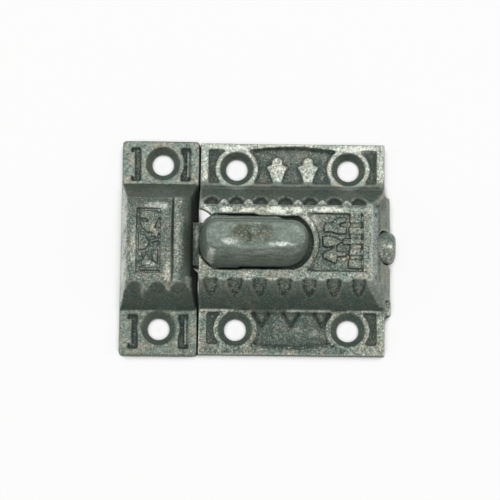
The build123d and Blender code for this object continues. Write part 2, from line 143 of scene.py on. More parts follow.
# The slot's rims: side, where the lean starts in x, and how far they lean over, in mm
RIM_LEANS = ((1, -9.3, 0.5), (-1, -13.0, 0.22))
# Where the worn end is dented, in mm
DENTS = ((19.9, -8.0, 9.0), (19.9, 7.0, 9.0))
# A casting's masks, from 0 to 1: how rubbed, with painted highlights and painted shade in it, how grimy,
# with painted shade in creases and gaps, how smooth, how polished by hands, how olive, how bluish, how
# bright with bare grains and painted highlights, and how far behind, where nobody rubs it
MASKS = ("wear", "dirt", "calm", "thumbed", "olive", "bluish", "grains_and_highlight", "behind")

# The studio: lamps with their place and width in m and their power in W, the light of the sky, half the
# card's width in m, where the lamps aim and the camera is in mm, and its turns in degrees
LAMPS = (
    ("overhead", (0.0, 0.25, 0.9), 0.7, 2.6),
    ("left", (-0.75, 0.0, 0.45), 0.5, 1.8),
    ("right", (0.7, 0.0, 0.5), 0.5, 1.8),
)
SKY = 0.45
CARD_HALF = 4.0
LAMP_AIM = (-10.0, 0.0, 0.0)
CAMERA_PLACE = (-10.07, -120.05, 590.355)
CAMERA_TILT, CAMERA_TURN = 11.5, 0.6561
LENS, SENSOR = 180, 36


def linear(hex_colour):
    """Turns an sRGB hex colour into the linear values that shaders work in."""
    parts = [int(hex_colour[i : i + 2], 16) / 255 for i in (1, 3, 5)]
    return tuple(c / 12.92 if c <= 0.04045 else ((c + 0.055) / 1.055) ** 2.4 for c in parts)


def tone(label, about, hex_colour):
    """A colour for the panel, written as sRGB hex."""
    return bpy.props.FloatVectorProperty(
        name=label, description=about, subtype="COLOR", min=0, max=1, default=linear(hex_colour)
    )


def length(label, about, metres):
    """A length for the panel."""
    return bpy.props.FloatProperty(name=label, description=about, unit="LENGTH", precision=5, default=metres)


class CatchSizes(bpy.types.PropertyGroup):
    plate: length("Plate", "Height of the screw plates", 2.4 * MM)
    front: length("Front", "Height of the flat fronts of latch and keeper", KEEPER_HIGH.z)
    knob_foot: length("Knob foot", "Height at which the knob stands clear of the case", 11.0 * MM)
    case_mesh: length("Case mesh", "Mesh size of the latch case", 0.3 * MM)
    keeper_mesh: length("Keeper mesh", "Mesh size of the keeper", 0.22 * MM)
    bolt_mesh: length("Bolt mesh", "Mesh size of the bolt", 0.2 * MM)
    grain: length("Sand grain", "Height of the grain that the moulding sand left", 0.05 * MM)
    wobble: length("Wobble", "How far the castings' outer faces stray from true", 0.1 * MM)
    wire: length("Spring wire", "Diameter of the spring's wire", 0.6 * MM)
    coil: length("Spring coil", "Outside diameter of the spring", SPRING_HIGH.y - SPRING_LOW.y)
    turns: bpy.props.IntProperty(name="Spring turns", description="Turns in the spring", default=8, min=4)
    travel: length("Travel", "How far the bolt draws back", 4.2 * MM)


class CatchFinishes(bpy.types.PropertyGroup):
    worn: tone("Rubbed iron", "Rubbed high points of the castings", "#98A69B")
    worn_warm: tone("Rubbed iron, warm", "Rubbed high points with a trace of brown", "#A5A392")
    # Bright specks: also the colour of the painted highlights and sheen
    speck: tone("Bright specks", "Sand grains rubbed to bare metal", "#E2E5DA")
    film: tone("Oiled iron", "Dark film on slopes and in the ornament", "#394A42")
    # Grime: also the colour of painted shade in creases, in gaps and on the card
    grime_and_shade: tone("Grime", "Oldest dirt in corners and pits", "#1C2320")
    brown: tone("Browned iron", "Brown oxide in the hollows and behind", "#5E5345")
    # Bluish iron: also the tint of painted bluish highlights on the knob and the keeper's left end
    bluish: tone("Bluish iron", "Corners worn to bare metal, bluish in daylight", "#A2ACAC")
    thumbed: tone("Thumbed iron", "Knob and tail rubbed smooth by hands", "#828E85")
    hollow: tone("Thumb hollow", "Olive patina in the thumb hollow", "#575A45")
    wire: tone("Spring wire", "Drawn steel wire", "#8D8A84")
    sheet: tone("Strap steel", "Rolled steel strap", "#6F6C66")
    card: tone("White card", "Card under the catch", "#F4F4F2")


def sizes():
    """The sizes as the panel has them."""
    return bpy.context.scene.catch_sizes


def finishes():
    """The colours as the panel has them."""
    return bpy.context.scene.catch_finishes


def add(tree, kind, inputs=(), **settings):
    """Adds a shader node. inputs gives sockets a value, or links them to an output or a node's first one."""
    made = tree.nodes.new(kind)
    for key, value in settings.items():
        setattr(made, key, value)
    for key, value in dict(inputs).items():
        if isinstance(value, bpy.types.Node):
            value = value.outputs[0]
        if isinstance(value, bpy.types.NodeSocket):
            tree.links.new(value, made.inputs[key])
        elif hasattr(value, "__len__") and made.inputs[key].type == "RGBA":
            made.inputs[key].default_value = (*value[:3], 1)
        else:
            made.inputs[key].default_value = value
    return made


def new_material(name):
    """An empty material and its node tree."""
    material = bpy.data.materials.new(name)
    material.use_nodes = True
    material.node_tree.nodes.clear()
    return material, material.node_tree


def millimetres(tree, shift):
    """Texture space in millimetres, so that a pattern's scale is one over its real size."""
    place = add(tree, "ShaderNodeTexCoord").outputs["Object"]
    start = (shift, 2 * shift, 3 * shift)
    return add(tree, "ShaderNodeMapping", {"Vector": place, "Location": start, "Scale": (1 / MM,) * 3})


def metal_end(tree, surface, metal, rough, height, deep, strength):
    """Ends a metal's nodes with its relief, as deep as deep in mm, its shader and its output."""
    bump = add(tree, "ShaderNodeBump", {"Height": height, "Distance": deep * MM, "Strength": strength})
    shader = add(
        tree,
        "ShaderNodeBsdfPrincipled",
        {"Base Color": surface, "Metallic": metal, "Roughness": rough, "Normal": bump},
    )
    add(tree, "ShaderNodeOutputMaterial", {"Surface": shader})


def stretch(values, low, high):
    """0 below low, 1 above high, smooth between."""
    t = np.clip((values - low) / (high - low), 0, 1)
    return t * t * (3 - 2 * t)


def at_level(values, level, reach):
    """1 at a level, 0 beyond reach from it."""
    return 1 - stretch(np.abs(values - level), 0.5 * reach, reach)


def plateau(values, rise, top, edge, end):
    """0 up to rise and from end on, 1 from top to edge, smooth between."""
    return stretch(values, rise, top) * (1 - stretch(values, edge, end))


def read_points(mesh):
    """A mesh's points, one row each."""
    found = np.empty(len(mesh.vertices) * 3)
    mesh.vertices.foreach_get("co", found)
    return found.reshape(-1, 3)


def read_normals(mesh):
    """A mesh's normals, one row for each point."""
    found = np.empty(len(mesh.vertices) * 3)
    mesh.vertices.foreach_get("normal", found)
    return found.reshape(-1, 3)


def read_edges(mesh):
    """The two points of each of a mesh's edges."""
    found = np.empty(len(mesh.edges) * 2, dtype=np.int64)
    mesh.edges.foreach_get("vertices", found)
    return found.reshape(-1, 2)


def write_points(mesh, positions):
    """Moves a mesh's points."""
    mesh.vertices.foreach_set("co", positions.ravel())
    mesh.update()


def write_mask(mesh, name, values):
    """Writes a value for each point, which a material reads by its name."""
    mask = mesh.attributes.new(name, "FLOAT", "POINT")
    mask.data.foreach_set("value", np.clip(values, 0, 1).astype(np.float32))


def soften(values, edges, rounds):
    """Each value replaced by its neighbours' mean, a number of times over."""
    count = np.maximum(np.bincount(edges.ravel(), minlength=len(values)), 1)
    for _ in range(rounds):
        total = np.zeros_like(values)
        for axis in range(values.shape[1]):
            along = values[:, axis]
            total[:, axis] = np.bincount(edges[:, 0], along[edges[:, 1]], len(values))
            total[:, axis] += np.bincount(edges[:, 1], along[edges[:, 0]], len(values))
        values = total / count[:, None]
    return values


def lumps(positions, size, seed):
    """Smooth noise from -1 to 1 at each point, with lumps about as large as size."""
    scale = 1 / size
    shift = Vector((seed * 17.31, seed * 5.17, seed * 9.73))
    return np.array([noise.noise(Vector(p) * scale + shift) for p in positions])


def open_above(mesh, positions, normals):
    """1 where nothing of the mesh lies straight above a point."""
    tree = BVHTree.FromPolygons(positions.tolist(), [p.vertices[:] for p in mesh.polygons])
    up = Vector((0, 0, 1))
    start = positions + 0.15 * MM * normals
    return np.array([tree.ray_cast(Vector(p), up)[0] is None for p in start], dtype=float)


class Casting:
    """A casting's solid, meshed finely enough to carry the marks of its mould and of its use."""

    def __init__(self, node, name, mesh_size, seed):
        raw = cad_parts[node].data.copy()
        welded = bmesh.new()
        welded.from_mesh(raw)
        bmesh.ops.remove_doubles(welded, verts=welded.verts, dist=1e-7)
        welded.to_mesh(raw)
        self.solid = BVHTree.FromBMesh(welded)
        welded.free()
        self.object = bpy.data.objects.new(name, raw)
        bpy.context.scene.collection.objects.link(self.object)
        mould = self.object.modifiers.new("Mould", "REMESH")
        mould.mode = "VOXEL"
        mould.voxel_size = mesh_size
        bpy.context.view_layer.update()
        ready = self.object.evaluated_get(bpy.context.evaluated_depsgraph_get())
        self.mesh = bpy.data.meshes.new_from_object(ready)
        self.mesh.name = name
        self.object.modifiers.clear()
        self.object.data = self.mesh
        bpy.data.meshes.remove(raw)
        self.seed = seed
        self.read()
        self.ease(np.ones(len(self.points)), 2)

    def read(self):
        """Takes edges, points and normals from the mesh."""
        self.edges = read_edges(self.mesh)
        self.points = read_points(self.mesh)
        self.normals = read_normals(self.mesh)

    def ease(self, amount, rounds):
        """Rounds the surface off where amount is 1."""
        for _ in range(rounds):
            step = soften(self.points, self.edges, 1) - self.points
            self.points = self.points + 0.5 * amount[:, None] * step
        write_points(self.mesh, self.points)
        self.normals = read_normals(self.mesh)

    def refine(self, low, high):
        """Halves the mesh in a box of the front and draws it back onto the solid, for fine carving."""
        fine = bmesh.new()
        fine.from_mesh(self.mesh)
        low, high = Vector(low) * MM, Vector(high) * MM
        chosen = set()
        for face in fine.faces:
            centre = face.calc_center_median()
            if all(low[i] < centre[i] < high[i] for i in range(3)):
                chosen.update(face.edges)
        bmesh.ops.subdivide_edges(fine, edges=list(chosen), cuts=1, use_grid_fill=True)
        for vertex in fine.verts:
            if all(low[i] < vertex.co[i] < high[i] for i in range(3)):
                vertex.co = self.solid.find_nearest(vertex.co)[0]
        fine.to_mesh(self.mesh)
        fine.free()
        self.read()
        inside = np.all((self.points > np.array(low)) & (self.points < np.array(high)), axis=1)
        self.ease(inside.astype(float), 1)

    def stray(self):
        """Moves the outer faces off true in long waves, as old castings are."""
        self.outside = open_above(self.mesh, self.points, self.normals)
        waves = np.stack([lumps(self.points, 8 * MM, self.seed + i) for i in range(3)], axis=1)
        free = self.outside * stretch(self.points[:, 2], 0.3 * MM, 1.5 * MM)
        free = soften(free[:, None], self.edges, 4)
        self.points = self.points + sizes().wobble * free * waves * np.array((1, 1, 0.6))
        write_points(self.mesh, self.points)

    def measure(self):
        """Finds arrises and creases, by how proud points stand of the surface about them, and the zones."""
        self.normals = read_normals(self.mesh)
        close = soften(self.points, self.edges, 10)
        proud = np.einsum("ij,ij->i", self.points - close, self.normals)
        self.arris = stretch(proud, 0.06 * MM, 0.2 * MM)
        self.crease = stretch(-proud, 0.03 * MM, 0.14 * MM)
        self.masks = {name: np.zeros(len(self.points)) for name in MASKS}
        self.masks["behind"] = 1 - self.outside
        # Places and zones, in mm
        self.x, self.y, self.z = self.points.T / MM
        self.nx, self.ny, self.nz = self.normals.T
        self.plate, self.front = sizes().plate / MM, sizes().front / MM
        self.up = stretch(self.nz, 0.8, 0.96)
        self.slope = 1 - self.up
        self.upper = stretch(self.y, -2, 2)
        self.lower = 1 - self.upper
        self.tops = self.up * at_level(self.z, self.plate, 0.3)

    def paint(self, where, **values):
        """Brings each mask that is named to its value wherever where is 1."""
        for name, value in values.items():
            self.masks[name] = self.masks[name] * (1 - where) + value * where

    def band(self, x0, x1, y_at, half):
        """1 along a line on the front from x0 to x1 in mm; y_at is its place in y, half its half width."""
        away = np.abs(self.y - y_at) / half
        near = (away < 2) & (self.x > x0) & (self.x < x1)
        broken = np.zeros(len(away))
        broken[near] = 0.8 + 0.6 * lumps(self.points[near], 1.1 * MM, self.seed + 9)
        ends = plateau(self.x, x0, x0 + 0.6, x1 - 0.6, x1)
        return ends * np.clip(broken, 0, 1) * (1 - stretch(away, 0.5, 1.2))

    def spot(self, x, y, across, along):
        """1 at a place on the front, fading to 0 with a ragged edge; the sizes are half widths in mm."""
        away = np.hypot((self.x - x) / across, (self.y - y) / along)
        near = away < 1.6
        ragged = np.zeros(len(away))
        ragged[near] = 0.35 * lumps(self.points[near], 0.9 * MM, self.seed + 8)
        return 1 - stretch(away + ragged, 0.4, 1.1)

    def glints(self, places):
        """How strong a table's places are at each point: painted highlights for the glint tables, olive
        stains for the thumb's.
        """
        return np.max([amount * self.spot(*place) for *place, amount in places], axis=0)

    def from_screws(self, screws):
        """How far each point is from the nearest screw's axis, in mm."""
        return np.min([np.hypot(self.x - x, self.y - y) for x, y in screws], axis=0)

    def dent(self, x, y, z, radius, depth):
        """Pushes the surface in around a place, as a blow or long rubbing does."""
        away = np.linalg.norm(self.points / MM - (x, y, z), axis=1) / radius
        inwards = depth * MM * (1 - stretch(away, 0, 1)) * self.outside
        self.points = self.points - inwards[:, None] * self.normals
        write_points(self.mesh, self.points)

    def roughen(self, amount):
        """Raises sand grain along the normals: lumps of about 0.9 mm, finer ones, and pits."""
        coarse = lumps(self.points, 0.9 * MM, self.seed + 4)
        fine = lumps(self.points, 0.5 * MM, self.seed + 5)
        pits = stretch(lumps(self.points, 0.8 * MM, self.seed + 6), 0.3, 0.7)
        height = sizes().grain * amount * (0.7 * coarse + 0.6 * fine - 0.9 * pits)
        self.points = self.points + height[:, None] * self.normals
        write_points(self.mesh, self.points)
        self.masks["dirt"] = np.maximum(self.masks["dirt"], 0.4 * pits * amount)

    def finish(self, node, body, material):
        """Gives the mesh its masks and material, and its place in the frame."""
        for name, values in self.masks.items():
            write_mask(self.mesh, name, values)
        self.mesh.materials.clear()
        self.mesh.materials.append(material)
        self.mesh.polygons.foreach_set("use_smooth", [True] * len(self.mesh.polygons))
        self.mesh.update()
        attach(self.object, body)
        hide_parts(node)


def cast_iron(name, shift):
    """Old grey cast iron, sand-moulded, then handled and oiled for a century. The eye sees rubbed
    flats full of bright specks and dark pits, and slopes and hollows left dark and smooth."""
    material, tree = new_material(name)
    tones = finishes()
    where = millimetres(tree, shift)
    wear, dirt, calm, thumbed, olive, bluish, grains_and_highlight, behind = (
        add(tree, "ShaderNodeAttribute", attribute_name=mask).outputs["Fac"] for mask in MASKS
    )
    # Moulding sand of about 0.25 mm, drawn near 0.4 mm so that it shows, its specks, blotches and clouds
    grit, speck, blotch, mottle = (
        add(
            tree,
            "ShaderNodeTexNoise",
            {"Vector": where, "Scale": 1 / size, "Detail": fine, "Roughness": crisp},
        )
        for size, fine, crisp in ((0.4, 3.0, 0.75), (0.55, 4.0, 0.75), (1.3, 2.0, 0.5), (4.0, 4.0, 0.6))
    )
    # Streaks along the knob, where thumbs have drawn it back
    drawn = add(tree, "ShaderNodeMapping", {"Vector": where, "Scale": (0.3, 1.0, 1.0)})
    streak = add(
        tree, "ShaderNodeTexNoise", {"Vector": drawn, "Scale": 1 / 0.9, "Detail": 4.0, "Roughness": 0.7}
    )
    # Rubbed surface, carrying the painted highlights and shade of the wear mask, broken up where it isn't
    # worn smooth
    uneven = add(tree, "ShaderNodeMapRange", {"Value": calm, "To Min": 1.0, "To Max": 0.12})
    broken = 0.0
    for pattern, reach in ((grit, 0.62), (blotch, 0.14), (mottle, 0.16)):
        swing = add(
            tree,
            "ShaderNodeMapRange",
            {"Value": pattern, "From Min": 0.35, "From Max": 0.65, "To Min": -reach, "To Max": reach},
        )
        broken = add(tree, "ShaderNodeMath", {0: broken, 1: swing}, operation="ADD")
    broken = add(tree, "ShaderNodeMath", {0: broken, 1: uneven}, operation="MULTIPLY")
    # Film that lies thick hides the grit: less contrast where little is rubbed
    depth = add(tree, "ShaderNodeMapRange", {"Value": wear, "From Max": 0.6, "To Min": 0.55, "To Max": 1.0})
    broken = add(tree, "ShaderNodeMath", {0: broken, 1: depth}, operation="MULTIPLY")
    drag = add(
        tree,
        "ShaderNodeMapRange",
        {"Value": streak, "From Min": 0.35, "From Max": 0.65, "To Min": -0.2, "To Max": 0.2},
    )
    broken = add(tree, "ShaderNodeMath", {0: drag, 1: thumbed, 2: broken}, operation="MULTIPLY_ADD")
    rubbed_and_painted_light = add(tree, "ShaderNodeMath", {0: wear, 1: broken}, operation="ADD", use_clamp=True)
    # Grains rubbed to bare metal: few on a plain face, close together where painted highlights lie, and a
    # painted sheen lightens those places as a whole
    lifted = add(tree, "ShaderNodeMath", {0: grains_and_highlight, 1: 0.26, 2: speck}, operation="MULTIPLY_ADD")
    bright = add(tree, "ShaderNodeMapRange", {"Value": lifted, "From Min": 0.54, "From Max": 0.68})
    bare = add(tree, "ShaderNodeMath", {0: rubbed_and_painted_light, 1: grains_and_highlight}, operation="MAXIMUM")
    sharp = add(tree, "ShaderNodeMath", {0: 1.0, 1: calm}, operation="SUBTRACT")
    glint = add(tree, "ShaderNodeMath", {0: bright, 1: bare}, operation="MULTIPLY")
    glint = add(tree, "ShaderNodeMath", {0: glint, 1: sharp}, operation="MULTIPLY")
    painted_sheen = add(tree, "ShaderNodeMath", {0: grains_and_highlight, 1: 0.45}, operation="MULTIPLY")
    glint = add(tree, "ShaderNodeMath", {0: glint, 1: painted_sheen}, operation="MAXIMUM")
    # Pits between the rubbed grains
    pits = add(
        tree, "ShaderNodeMapRange", {"Value": speck, "From Min": 0.47, "From Max": 0.36, "To Max": 0.75}
    )
    pits = add(tree, "ShaderNodeMath", {0: pits, 1: uneven}, operation="MULTIPLY")
    # Colours: bare iron, warmer in clouds, over a film of old oil that browns behind
    patch = add(tree, "ShaderNodeMapRange", {"Value": mottle, "From Min": 0.4, "From Max": 0.62})
    iron = tones.worn
    for amount, coat in ((patch, tones.worn_warm), (thumbed, tones.thumbed), (bluish, tones.bluish)):
        iron = add(tree, "ShaderNodeMix", {0: amount, 6: iron, 7: coat}, data_type="RGBA").outputs[2]
    most_brown = add(tree, "ShaderNodeMapRange", {"Value": behind, "To Min": 0.15, "To Max": 0.75})
    brown = add(tree, "ShaderNodeMath", {0: most_brown, 1: patch}, operation="MULTIPLY")
    surface = tones.film
    for amount, coat in (
        (brown, tones.brown),
        (rubbed_and_painted_light, iron),
        (olive, tones.hollow),
        (pits, tones.film),
        (dirt, tones.grime_and_shade),
        (glint, tones.speck),
    ):
        surface = add(tree, "ShaderNodeMix", {0: amount, 6: surface, 7: coat}, data_type="RGBA").outputs[2]
    # Grime and painted shade are dull
    metal = add(tree, "ShaderNodeMapRange", {"Value": rubbed_and_painted_light, "To Min": 0.15, "To Max": 0.75})
    clean = add(tree, "ShaderNodeMath", {0: 1.0, 1: dirt}, operation="SUBTRACT")
    metal = add(tree, "ShaderNodeMath", {0: metal, 1: clean}, operation="MULTIPLY")
    rough = add(tree, "ShaderNodeMapRange", {"Value": rubbed_and_painted_light, "To Min": 0.52, "To Max": 0.42})
    rough = add(
        tree, "ShaderNodeMath", {0: dirt, 1: 0.5, 2: rough}, operation="MULTIPLY_ADD", use_clamp=True
    )
    # The grit stands a few hundredths of a millimetre proud
    relief = add(tree, "ShaderNodeMath", {0: grit, 1: uneven}, operation="MULTIPLY")
    metal_end(tree, surface, metal, rough, relief, 0.12, 0.45)
    return material


def drawn_wire():
    """Drawn spring steel, greyed by age. The eye sees smooth round wire with brown spots."""
    material, tree = new_material("drawn_spring_steel")
    tones = finishes()
    where = millimetres(tree, 11)
    spots = add(
        tree, "ShaderNodeTexNoise", {"Vector": where, "Scale": 1 / 0.8, "Detail": 3.0, "Roughness": 0.6}
    )
    rust = add(tree, "ShaderNodeMapRange", {"Value": spots, "From Min": 0.5, "From Max": 0.7, "To Max": 0.7})
    spotted = add(tree, "ShaderNodeMix", {0: rust, 6: tones.wire, 7: tones.brown}, data_type="RGBA")
    metal = add(tree, "ShaderNodeMapRange", {"Value": rust, "To Min": 1.0, "To Max": 0.2})
    rough = add(tree, "ShaderNodeMapRange", {"Value": rust, "To Min": 0.32, "To Max": 0.65})
    metal_end(tree, spotted.outputs[2], metal, rough, spots, 0.04, 0.4)
    return material


def rolled_steel():
    """Rolled sheet steel. The eye sees it dull and brown-spotted, with rolling marks along the strap."""
    material, tree = new_material("rolled_strap_steel")
    tones = finishes()
    where = millimetres(tree, 23)
    drawn = add(tree, "ShaderNodeMapping", {"Vector": where, "Scale": (1.0, 0.08, 1.0)})
    marks = add(
        tree, "ShaderNodeTexNoise", {"Vector": drawn, "Scale": 1 / 0.4, "Detail": 2.0, "Roughness": 0.5}
    )
    spots = add(
        tree, "ShaderNodeTexNoise", {"Vector": where, "Scale": 1 / 2.2, "Detail": 4.0, "Roughness": 0.65}
    )
    rust = add(
        tree, "ShaderNodeMapRange", {"Value": spots, "From Min": 0.42, "From Max": 0.66, "To Max": 0.8}
    )
    spotted = add(tree, "ShaderNodeMix", {0: rust, 6: tones.sheet, 7: tones.brown}, data_type="RGBA")
    metal = add(tree, "ShaderNodeMapRange", {"Value": rust, "To Min": 0.9, "To Max": 0.2})
    rough = add(tree, "ShaderNodeMapRange", {"Value": rust, "To Min": 0.42, "To Max": 0.7})
    both = add(tree, "ShaderNodeMath", {0: marks, 1: spots}, operation="ADD")
    metal_end(tree, spotted.outputs[2], metal, rough, both, 0.06, 0.4)
    return material


def white_card():
    """White card. What sees it straight, or through a reflection, sees it lit through; shadows stay."""
    material, tree = new_material("white_card")
    rays = add(tree, "ShaderNodeLightPath").outputs
    seen = add(tree, "ShaderNodeMath", {0: rays["Is Camera Ray"], 1: rays["Is Glossy Ray"]}, operation="ADD")
    seen = add(tree, "ShaderNodeMath", {0: seen, 1: rays["Is Transmission Ray"]}, operation="ADD")
    # Gaps too narrow for light to reach stay dark: the card is painted in shade there
    gap = add(tree, "ShaderNodeAmbientOcclusion", {"Distance": 4 * MM}, samples=8).outputs["AO"]
    lit = add(tree, "ShaderNodeMapRange", {"Value": gap, "From Min": 0.46, "From Max": 0.6, "To Max": 0.86})
    reached = add(tree, "ShaderNodeMapRange", {"Value": gap, "From Min": 0.3, "From Max": 0.6})
    paper = add(
        tree, "ShaderNodeMix", {0: reached, 6: finishes().grime_and_shade, 7: finishes().card}, data_type="RGBA"
    ).outputs[2]
    share = add(tree, "ShaderNodeMath", {0: seen, 1: lit}, operation="MULTIPLY")
    card = add(tree, "ShaderNodeBsdfPrincipled", {"Base Color": paper, "Roughness": 0.9})
    glow = add(tree, "ShaderNodeEmission", {"Color": (1, 1, 1), "Strength": 1.0})
    mixed = add(tree, "ShaderNodeMixShader", {0: share, 1: card, 2: glow})
    add(tree, "ShaderNodeOutputMaterial", {"Surface": mixed})
    return material


def beat_over_rims(case):
    """Beats the slot's long rims over towards the knob."""
    x, y, z = case.points.T / MM
    rim = (1 - stretch(x, -1.0, 2.5)) * stretch(z, 9.4, 10.2)
    for side, start, lean in RIM_LEANS:
        lap = rim * stretch(x, start, start + 1.5) * plateau(side * y, 6.3, 6.6, 6.9, 9.4)
        uneven = 1 + 0.3 * lumps(case.points, 1.5 * MM, 41)
        case.points[:, 1] -= side * lean * MM * lap * uneven
    write_points(case.mesh, case.points)


def paint_case_slopes(case):
    """Film on the slopes, thinner towards the lower front edge, and the notches sunk into them."""
    y, z, slope = case.y, case.z, case.slope
    case.paint(slope * case.upper, wear=0.12)
    case.paint(slope * case.lower, wear=0.07 + 0.3 * stretch(z, 6.5, 10.3))
    above = (np.abs(y) - FRONT_EDGE[0]) * SLOPE_DROP + (z - FRONT_EDGE[1]) * SLOPE_RUN
    above = above / math.hypot(SLOPE_RUN, SLOPE_DROP)
    sunk = stretch(-above, 0.3, 0.55) * stretch(z, 4, 5) * (np.abs(y) > 8.6)
    # The notches in the upper slope are darkened: dark film with grime and painted shade
    case.paint(sunk * case.upper, wear=0.02, dirt=0.3)
    case.paint(sunk * case.lower, wear=0.36)
    case.paint(slope * (1 - sunk), calm=0.5)
    # Smooth pale line along the foot of the upper slope
    foot = slope * at_level(z, case.plate + 0.45, 0.7) * stretch(y, 14.0, 14.3)
    case.paint(foot, wear=0.42, calm=0.9, bluish=0.6)


def paint_case_plates(case):
    """Rubs the borders and rings of the plates, their fields less and the lower field least.
    Returns where the smooth strip between the upper slope and field is."""
    x, y, z, plate = case.x, case.y, case.z, case.plate
    deep = plate - z
    fields = case.up * stretch(deep, 0.25, 0.4) * (z < 4)
    case.paint(case.tops * case.upper, wear=0.87)
    case.paint(case.tops * case.lower, wear=0.54 + 0.12 * stretch(x, 14, 20))
    case.paint(case.tops * stretch(-y, 23.6, 24.6) * (1 - stretch(x, 12, 16)), wear=0.4)
    strip = case.upper * (1 - stretch(y, 16.3, 16.6)) * stretch(case.nz, 0.4, 0.8)
    strip = strip * (z > 1.5) * (z < plate + 0.6)
    case.paint(strip, wear=0.42, calm=0.8)
    case.paint(fields * case.upper, wear=0.18)
    case.paint(fields * case.lower, wear=0.16)
    # Deep grooves of the lower field darkened: grime and painted shade
    case.paint(case.up * stretch(deep, 0.5, 0.8) * (z > 1) * case.lower * (np.abs(x) < 11), dirt=0.8)
    screw = case.from_screws(CASE_SCREWS)
    ring = at_level(screw, RING, 0.9) * (1 - stretch(deep, 0.15, 0.3)) * (z < 4)
    case.paint(ring * case.upper, wear=0.95)
    sink = (1 - stretch(screw, *SINK_RIM)) * (z > 0.1)
    case.paint(sink, wear=0.08, calm=0.7)
    return strip


def paint_case_front(case):
    """Rubs the front, most along the slot, and less in its panel. Returns where the panel is."""
    x, y, z, front = case.x, case.y, case.z, case.front
    faces = case.up * at_level(z, front, 0.3)
    case.paint(faces, wear=0.62 + 0.25 * stretch(y, 6.6, 7.6) + 0.12 * stretch(-y, 6.4, 7.4))
    case.paint(faces * stretch(y, 8.1, 8.7), wear=0.5)
    panel = plateau(x, *CASE_FIELD) * (1 - stretch(np.abs(y), 6.9, 7.2)) * (z > 9.5)
    panel = panel * stretch(np.hypot(x - SLOT_END, y), 8.4, 8.8)
    case.paint(panel, wear=0.36 + 0.12 * stretch(z, front - 0.35, front - 0.15))
    return panel


def paint_case_end(case):
    """Wears the bevel at the right end bare, and draws streaks down the end itself."""
    x, y, z = case.x, case.y, case.z
    bevel = plateau(x, *WORN_END) * (z > 7.5) * (1 - stretch(np.abs(y), 8.2, 9.8))
    case.paint(bevel, wear=0.75, calm=0.3, bluish=0.6)
    # Below the worn end the bevel widens into a pale corner; its ridge gets a painted highlight
    beyond = y + 10.1 + 1.34 * (x - 18.0)
    corner = stretch(beyond, -0.3, 0.4) * (1 - stretch(y, -8.8, -8.0)) * stretch(x, 17.4, 18.0)
    corner = corner * (z > case.plate + 1)
    case.paint(corner, wear=0.55, calm=0.6, bluish=0.4)
    ridge = (1 - stretch(np.abs(beyond), 0.1, 0.6)) * (corner > 0.01)
    case.paint(ridge * (0.6 + 0.7 * lumps(case.points, 1.0 * MM, 45)), wear=0.95)
    end = stretch(x, 20.3, 20.7) * stretch(case.nx, 0.3, 0.6)
    case.paint(end, wear=0.52, calm=0.6)
    streaks = lumps(case.points * (1, 0.15, 0.3), 0.6 * MM, 49)
    case.paint(end * stretch(streaks, -0.1, 0.35), olive=0.4)


def paint_case_edges(case, strip, panel):
    """Rubs the arrises bright, paints highlights on them, over the upper border and at the glints, and
    darkens corners, creases and edges with grime and painted shade, and the end beside the seam with painted
    shade.
    """
    x, y, z = case.x, case.y, case.z
    edge = case.arris * case.outside
    on_slope = case.slope * (z > case.plate + 1)
    edge = edge * (1 - 0.75 * on_slope * case.lower)
    edge = edge * (1 - 0.8 * (y < -15.4) * (y > -19.5) * (np.abs(x) < 9.5))
    edge = edge * (1 - 0.9 * strip)
    case.paint(0.6 * edge, wear=0.85)
    # Painted highlights: on the arrises, over the upper border, along the foot lines and at the glints
    grains_and_highlight = np.maximum(0.5 * edge, 0.34 * case.tops * case.upper * (1 - strip))
    for start, stop, amount in FOOT_LINES:
        grains_and_highlight = np.maximum(grains_and_highlight, amount * case.band(start, stop, -15.15, 0.28) * (z < 4))
    grains_and_highlight = np.maximum(grains_and_highlight, case.glints(CASE_GLINTS))
    case.masks["grains_and_highlight"] = grains_and_highlight * case.outside * (z > 1)
    case.paint(0.7 * case.masks["grains_and_highlight"], wear=0.95)
    # Creases darkened: grime and painted shade, less in the plates' pockets
    pocket = (z < case.plate) * (z > 0.8) * ((np.abs(x) > 11) | (y > 14))
    case.paint(case.crease * (1 - (x > 21.0) * (z < 5)) * (1 - 0.5 * pocket), dirt=0.75)
    # The end that faces the keeper is painted in shade, as the seam's gap lets no light in
    case.paint(stretch(-case.nx, 0.5, 0.8) * (1 - stretch(x, -21.4, -21.0)), dirt=0.7)
    # Painted shadow lines under the arched border and over the lower one, and painted shade in the crease
    # beside the worn end
    low = z < case.plate + 0.1
    case.paint(case.band(-9.9, 10.2, 24.75 - 0.0085 * (x + 1.6) ** 2, 0.35) * low, dirt=0.85)
    case.paint(case.band(-10.2, 10.6, -24.15 + 0.006 * (x - 0.5) ** 2, 0.4) * low, dirt=0.8)
    case.paint((1 - stretch(np.abs(x - 20.75), 0.1, 0.4)) * (z > 5) * (np.abs(y) < 9), dirt=0.3)
    # Steep sides in the panel darkened: painted shade and grime
    case.paint(panel * (1 - stretch(case.nz, 0.75, 0.95)), dirt=0.8)
    case.paint(1 - case.outside, wear=0.05)


class CATCH_OT_latch_case(bpy.types.Operator):
    """Dresses the latch's case as a worn sand casting"""

    bl_idname = "catch.latch_case"
    bl_label = "Latch case"

    def execute(self, context):
        case = Casting("latch_case", "dressed_case", sizes().case_mesh, 1)
        case.refine(*CASE_PANEL)
        case.stray()
        for place in DENTS:
            case.dent(*place, 1.8, 0.35)
        beat_over_rims(case)
        case.measure()
        paint_case_slopes(case)
        strip = paint_case_plates(case)
        panel = paint_case_front(case)
        paint_case_end(case)
        paint_case_edges(case, strip, panel)
        case.roughen(0.3 + 0.7 * case.outside * (1 - 0.7 * case.masks["calm"]))
        case.finish("latch_case", "latch", cast_iron("oiled_cast_iron", 3))
        return {"FINISHED"}


